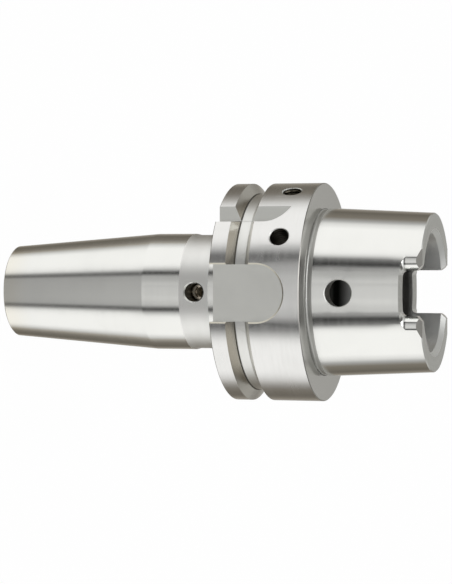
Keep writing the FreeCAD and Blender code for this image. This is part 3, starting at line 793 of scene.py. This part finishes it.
    @staticmethod
    def smooth(mesh: bpy.types.Mesh, order: list[Zone]) -> None:
        """Give turned and flat zones the normals of the true surface.

        Where a corner of a turned zone leans round the axis, or far from its face's slope, it
        gets that slope and points straight away from the axis. So do all corners of the
        groove's flanks. The recess's corners are level, and the relief's don't lean down.
        A flat zone's corners all point as its face does.

        Args:
            mesh: The holder's mesh.
            order: The zones in the order of the mesh's materials.
        """
        normals = [corner.vector.copy() for corner in mesh.corner_normals]
        for polygon in mesh.polygons:
            zone = order[polygon.material_index]
            face = polygon.normal
            if zone in FLAT_ZONES:
                for index in polygon.loop_indices:
                    normals[index] = face.copy()
            elif zone in TURNED_ZONES:
                way = 1.0 if face.x * polygon.center.x + face.y * polygon.center.y > 0 else -1.0
                level = math.sqrt(max(0.0, 1.0 - face.z * face.z)) * way
                for index in polygon.loop_indices:
                    corner = mesh.vertices[mesh.loops[index].vertex_index].co
                    spoke = Vector((corner.x, corner.y, 0.0)).normalized()
                    given = normals[index]
                    across = abs(spoke.x * given.y - spoke.y * given.x)
                    strays = across > TURNED or abs(given.z - face.z) > LEANING
                    if zone is Zone.RECESS:
                        normals[index] = spoke
                    elif zone is Zone.RELIEF:
                        rise = max(0.0, given.z)
                        normals[index] = spoke * math.sqrt(1.0 - rise * rise)
                        normals[index].z = rise
                    elif strays or zone is Zone.VEE_FLANK:
                        normals[index] = spoke * level + Vector((0.0, 0.0, face.z))
        mesh.normals_split_custom_set(normals)


@dataclass
class Screw:
    """One of the two screws."""

    node: str
    groups: dict[str, bpy.types.NodeTree]

    def dress(self) -> bpy.types.Object:
        """Give the screw its warm steel.

        Returns:
            The dressed screw.
        """
        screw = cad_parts[self.node]
        screw.data.materials.clear()
        screw.data.materials.append(SCREW_STEEL.build(self.groups))
        log.info("%s: dressed", self.node)
        return screw


# Studio


@dataclass(frozen=True)
class PhotoCamera:
    """The camera of the photograph, which lies on its side."""

    place: tuple[float, float, float] = (-0.0082, -0.5695, 0.2358)
    forward: tuple[float, float, float] = (0.01398, 0.95769, -0.28747)
    up: tuple[float, float, float] = (-0.9999, 0.0133, -0.0042)
    lens: float = 125.02
    sensor: float = 36.0
    nearest: float = 0.01
    farthest: float = 50.0

    def build(self) -> bpy.types.Object:
        """Make the camera and give it to the scene.

        Returns:
            The camera.
        """
        data = bpy.data.cameras.new("photo_camera")
        data.sensor_width = self.sensor
        data.lens = self.lens
        data.clip_start = self.nearest
        data.clip_end = self.farthest
        camera = bpy.data.objects.new("photo_camera", data)
        bpy.context.scene.collection.objects.link(camera)
        back = -Vector(self.forward).normalized()
        right = Vector(self.up).cross(back).normalized()
        up = back.cross(right)
        camera.matrix_world = Matrix.Translation(self.place) @ Matrix(
            (right, up, back)).transposed().to_4x4()
        bpy.context.scene.camera = camera
        return camera


class Measure(Enum):
    """What a fade in the surroundings runs along."""

    UP = "upward part of the direction"
    BACK = "part of the direction towards the back"
    ASIDE = "share of half a turn away from the front"


@dataclass(frozen=True)
class Fade:
    """A share that changes between two values of a measure."""

    measure: Measure
    start: float
    end: float
    first: float = 0.0
    last: float = 1.0


@dataclass(frozen=True)
class Patch:
    """A soft-edged patch of one colour in the surroundings."""

    colour: Colour
    fades: tuple[Fade, ...]


Stops = tuple[tuple[float, float], ...]
Measured = dict[Measure, bpy.types.NodeSocket]
BLACK: Colour = (0.0, 0.0, 0.0)
WHITE: Colour = (1.0, 1.0, 1.0)
LOW_GREY: Colour = (0.43, 0.425, 0.415)
HALF_TURN = 180.0


@dataclass(frozen=True)
class Studio:
    """Surroundings that the steel mirrors, and the pale floor it stands on.

    The rows of stops give a brightness for each angle round the holder, in degrees. The
    patches are laid over one another in the order in which they stand here.
    """

    high_sides: Stops = (
        (0, 0.5), (31.5, 0.46), (34, 0.27), (36, 0.11), (38, 0.06), (40, 0.1), (42.5, 0.15),
        (45.5, 0.26), (48.5, 0.5), (51.5, 0.8), (55, 0.95), (60, 1.0), (97, 1.0), (108, 0.76),
        (114, 0.42), (124, 0.21), (144, 0.14), (158, 0.26), (180, 0.6))
    low_sides: Stops = (
        (0, 0.5), (29.5, 0.46), (32, 0.25), (34, 0.04), (35.5, 0.0), (38, 0.05), (39.5, 0.18),
        (42, 0.44), (44.5, 0.76), (47.5, 0.93), (52, 1.0), (95, 1.0), (107, 0.62), (113, 0.34),
        (124, 0.18), (144, 0.13), (158, 0.3), (180, 0.6))
    front: Stops = (
        (-28, 0.42), (-22, 0.47), (-14, 0.62), (-10, 0.565), (-6, 0.63), (8, 0.66), (12, 0.71),
        (16, 0.69), (22, 0.62), (27, 0.595))
    front_reach: float = 32.0
    turned_by: float = 1.3
    warm_from: float = 100.0
    warm_below: float = 0.4
    warm: float = 0.1
    neutral: float = 0.012
    blue_gain: float = 2.5
    low_part: tuple[Fade, ...] = (Fade(Measure.UP, -0.32, -0.23, 1.0, 0.0),)
    side_bar: Patch = Patch(BLACK, (
        Fade(Measure.UP, -0.15, -0.138, 0.85, 0.0), Fade(Measure.UP, -0.22, -0.19),
        Fade(Measure.ASIDE, 0.25, 0.275, 1.0, 0.0)))
    side_haze: Patch = Patch(LOW_GREY, (
        Fade(Measure.UP, -0.53, -0.46, 0.5, 0.0), Fade(Measure.ASIDE, 0.23, 0.26, 1.0, 0.0)))
    front_foot: Patch = Patch(LOW_GREY, (Fade(Measure.UP, -0.44, -0.38, 1.0, 0.0),))
    front_part: tuple[Fade, ...] = (Fade(Measure.ASIDE, 0.152, 0.164, 1.0, 0.0),)
    below: Patch = Patch((0.08, 0.075, 0.07), (
        Fade(Measure.UP, -0.66, -0.52, 1.0, 0.0), Fade(Measure.ASIDE, 0.15, 0.42, 1.0, 0.0)))
    above: Patch = Patch(BLACK, (
        Fade(Measure.UP, 0.0, 0.15), Fade(Measure.ASIDE, 0.15, 0.35, 0.72, 0.42)))
    rear_wall: Patch = Patch((0.48, 0.475, 0.455), (
        Fade(Measure.UP, 0.08, 0.2), Fade(Measure.BACK, 0.2, 0.6)))
    rear_dip: Patch = Patch((0.24, 0.235, 0.22), (
        Fade(Measure.BACK, 0.5, 0.8), Fade(Measure.UP, 0.18, 0.191),
        Fade(Measure.UP, 0.205, 0.245, 1.0, 0.0)))
    top_part: tuple[Fade, ...] = (Fade(Measure.UP, 0.45, 0.8),)
    top_back: Patch = Patch((0.12, 0.115, 0.11), (Fade(Measure.BACK, -0.2, 0.12),))
    floor_reach: float = 4.0
    floor_drop: float = 0.00005
    floor_colour: Colour = (0.9, 0.9, 0.9)
    floor_white_share: float = 0.985
    lamp_size: float = 1.2
    lamp_power: float = 6.0
    lamp_place: tuple[float, float, float] = (-0.3, -0.4, 1.6)
    lamp_way: tuple[float, float, float] = (0.3, 0.4, -1.5)

    @staticmethod
    def mask(tree: NodeTree, measured: Measured, fades: tuple[Fade, ...]) -> bpy.types.NodeSocket:
        """Multiply the shares of some fades.

        Args:
            tree: The node tree.
            measured: The sockets of the measures.
            fades: The fades.

        Returns:
            The share's socket.
        """
        shares = [tree.remap(measured[fade.measure], fade.start, fade.end, fade.first, fade.last)
                  for fade in fades]
        total = shares[0]
        for share in shares[1:]:
            total = tree.calc("MULTIPLY", total, share)
        return total

    def lay(self, tree: NodeTree, measured: Measured, patch: Patch,
            under: object) -> bpy.types.NodeSocket:
        """Lay a patch over what is there.

        Args:
            tree: The node tree.
            measured: The sockets of the measures.
            patch: The patch.
            under: The colour below it, as a socket or three numbers.

        Returns:
            The new colour's socket.
        """
        return tree.mix(self.mask(tree, measured, patch.fades), under, patch.colour)

    def ramp(self, tree: NodeTree, turn: bpy.types.NodeSocket, start: float, end: float,
             stops: Stops) -> bpy.types.NodeSocket:
        """Look a brightness up in a row of stops.

        Args:
            tree: The node tree.
            turn: The angle to look up, in radians.
            start: First angle of the row in degrees.
            end: Last angle of the row in degrees.
            stops: Angles in degrees and brightnesses.

        Returns:
            The faintly warm colour's socket.
        """
        ramp = tree.add("ShaderNodeValToRGB")
        shifted = tree.calc("SUBTRACT", turn, math.radians(start))
        tree.join(tree.calc("DIVIDE", shifted, math.radians(end - start)), ramp.inputs[0])
        elements = ramp.color_ramp.elements
        while len(elements) < len(stops):
            elements.new(0.5)
        for element, (angle, level) in zip(elements, stops):
            element.position = (angle - start) / (end - start)
            dim_back = level < self.warm_below and angle > self.warm_from
            warm = self.warm if dim_back else self.neutral
            element.color = (level, level * (1.0 - warm), level * (1.0 - warm * self.blue_gain),
                             1.0)
        return ramp.outputs["Color"]

    def paint(self, tree: NodeTree) -> bpy.types.NodeSocket:
        """Paint a grey front between dark bars, white sides, a dim back and a light top.

        Args:
            tree: The world's node tree.

        Returns:
            The colour of the surroundings.
        """
        x, y, z = tree.split(tree.add("ShaderNodeTexCoord").outputs["Generated"])
        forward = tree.calc("MULTIPLY", y, -1.0)
        turn = tree.calc("ADD", tree.calc("ARCTAN2", x, forward), math.radians(self.turned_by))
        aside = tree.calc("ABSOLUTE", turn)
        measured = {Measure.UP: z, Measure.BACK: y,
                    Measure.ASIDE: tree.calc("DIVIDE", aside, math.pi)}
        level = tree.mix(self.mask(tree, measured, self.low_part),
                         self.ramp(tree, aside, 0.0, HALF_TURN, self.high_sides),
                         self.ramp(tree, aside, 0.0, HALF_TURN, self.low_sides))
        for patch in (self.side_bar, self.side_haze):
            level = self.lay(tree, measured, patch, level)
        front = self.ramp(tree, turn, -self.front_reach, self.front_reach, self.front)
        level = tree.mix(self.mask(tree, measured, self.front_part), level,
                         self.lay(tree, measured, self.front_foot, front))
        for patch in (self.below, self.above, self.rear_wall, self.rear_dip):
            level = self.lay(tree, measured, patch, level)
        return tree.mix(self.mask(tree, measured, self.top_part), level,
                        self.lay(tree, measured, self.top_back, WHITE))

    def world(self) -> None:
        """Surround the holder with the painted studio, which the camera sees as white."""
        world = bpy.data.worlds.new("studio")
        bpy.context.scene.world = world
        world.use_nodes = True
        tree = NodeTree(world.node_tree)
        out = tree.add("ShaderNodeOutputWorld")
        pattern = tree.add("ShaderNodeBackground")
        tree.join(self.paint(tree), pattern.inputs["Color"])
        white = tree.add("ShaderNodeBackground")
        white.inputs["Color"].default_value = (*WHITE, 1.0)
        path = tree.add("ShaderNodeLightPath")
        chosen = tree.add("ShaderNodeMixShader")
        tree.join(path.outputs["Is Camera Ray"], chosen.inputs[0])
        tree.join(pattern.outputs[0], chosen.inputs[1])
        tree.join(white.outputs[0], chosen.inputs[2])
        tree.join(chosen.outputs[0], out.inputs["Surface"])

    def floor(self) -> bpy.types.Object:
        """Lay the pale floor, which takes the holder's shadow.

        Returns:
            The floor.
        """
        mesh = bpy.data.meshes.new("floor")
        reach = self.floor_reach
        mesh.from_pydata([(-reach, -reach, 0), (reach, -reach, 0), (reach, reach, 0),
                          (-reach, reach, 0)], [], [(0, 1, 2, 3)])
        floor = bpy.data.objects.new("floor", mesh)
        bpy.context.scene.collection.objects.link(floor)
        floor.location.z = -self.floor_drop
        material = bpy.data.materials.new("pale_floor")
        material.use_nodes = True
        tree = NodeTree(material.node_tree)
        out = tree.add("ShaderNodeOutputMaterial")
        matt = tree.add("ShaderNodeBsdfDiffuse")
        matt.inputs["Color"].default_value = (*self.floor_colour, 1.0)
        glow = tree.add("ShaderNodeEmission")
        glow.inputs["Color"].default_value = (*WHITE, 1.0)
        path = tree.add("ShaderNodeLightPath")
        mix = tree.add("ShaderNodeMixShader")
        share = tree.calc("MULTIPLY", path.outputs["Is Camera Ray"], self.floor_white_share)
        tree.join(share, mix.inputs[0])
        tree.join(matt.outputs[0], mix.inputs[1])
        tree.join(glow.outputs[0], mix.inputs[2])
        tree.join(mix.outputs[0], out.inputs["Surface"])
        mesh.materials.append(material)
        floor.visible_glossy = False
        return floor

    def lamp(self) -> bpy.types.Object:
        """Hang one large soft lamp overhead.

        Returns:
            The lamp.
        """
        data = bpy.data.lights.new("soft_box", "AREA")
        data.shape = "RECTANGLE"
        data.size = self.lamp_size
        data.size_y = self.lamp_size
        data.energy = self.lamp_power
        lamp = bpy.data.objects.new("soft_box", data)
        lamp.location = self.lamp_place
        lamp.rotation_euler = Vector(self.lamp_way).to_track_quat("-Z", "Y").to_euler()
        bpy.context.scene.collection.objects.link(lamp)
        return lamp


def main() -> None:
    """Dress the holder and its screws and set the scene round them."""
    logging.basicConfig(level=logging.INFO, format="%(name)s %(message)s")
    bpy.context.scene.view_settings.view_transform = "Standard"
    groups = {"tool_marks": ToolMarks().group, "smudges": Smudges().group,
              "thread_turns": ThreadTurns().group}
    HolderBody(groups).dress()
    for node in ("length_stop_screw", "neck_set_screw"):
        Screw(node, groups).dress()
    studio = Studio()
    studio.world()
    studio.floor()
    studio.lamp()
    PhotoCamera().build()


if __name__ == "__main__":
    main()
